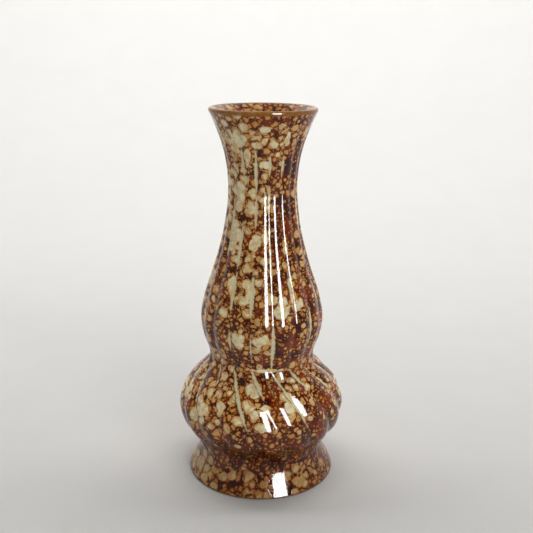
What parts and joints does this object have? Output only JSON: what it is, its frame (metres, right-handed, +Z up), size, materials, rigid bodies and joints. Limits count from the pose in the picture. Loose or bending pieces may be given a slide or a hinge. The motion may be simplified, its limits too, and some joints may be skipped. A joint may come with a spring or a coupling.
{
  "type": "bud vase",
  "caption": "Glazed ceramic bud vase: double-gourd body with upright and swirled flutes, a hollow flared foot, a long neck and a flared mouth.",
  "frame": {"origin": "centre of the foot, on the surface the vase stands on", "axes": "+Z up along the vase's axis; -Y is the front, the side that faces the viewer"},
  "size_m": [0.0715, 0.0716, 0.16],
  "materials": {
    "clay": "bare fired stoneware, matt",
    "slip": "fired luting slip, matt",
    "glaze": "glossy mottled brown and cream glaze",
    "lining": "glossy mottled dark brown glaze"
  },
  "bodies": {
    "root": {"foot_ring": "clay", "foot_slip": "slip", "base_disc": "clay", "base_slip": "slip", "lower_bulb": "clay", "waist_slip": "slip", "upper_bulb": "clay", "neck_slip": "slip", "neck": "clay", "exterior_glaze": "glaze", "interior_glaze": "lining"}
  },
  "joints": []
}
